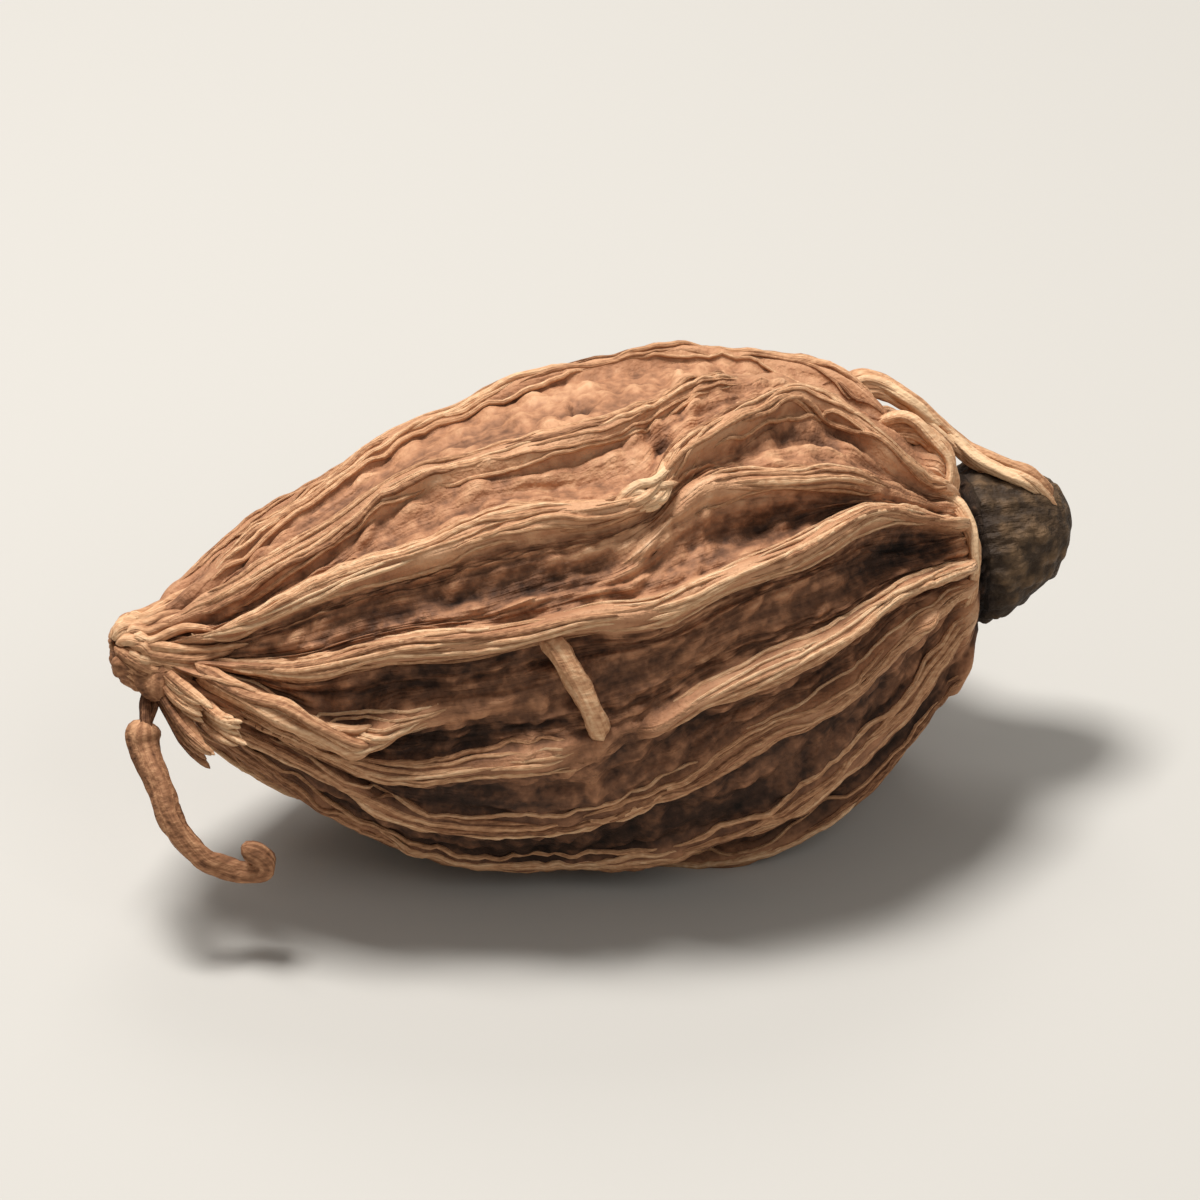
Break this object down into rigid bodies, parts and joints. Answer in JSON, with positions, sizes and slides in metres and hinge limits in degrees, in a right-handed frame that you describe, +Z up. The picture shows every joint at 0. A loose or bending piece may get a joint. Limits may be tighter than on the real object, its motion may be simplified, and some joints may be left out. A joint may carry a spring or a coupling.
{
  "type": "black cardamom pod",
  "caption": "Dried oval spice pod with raised lengthwise ribs, a frayed stalk knot at one end and a blunt flower stub at the other, lying on its belly.",
  "frame": {"origin": "on the surface the pod lies on, under the middle of its length and width", "axes": "+X along the pod from the stalk knot to the nose, +Z up, -Y the front that the picture shows"},
  "size_m": [0.024, 0.0127, 0.0118],
  "materials": {
    "husk": "matte dried husk with paler fibrous ribs"
  },
  "bodies": {
    "root": {"pod": "husk"}
  },
  "joints": []
}
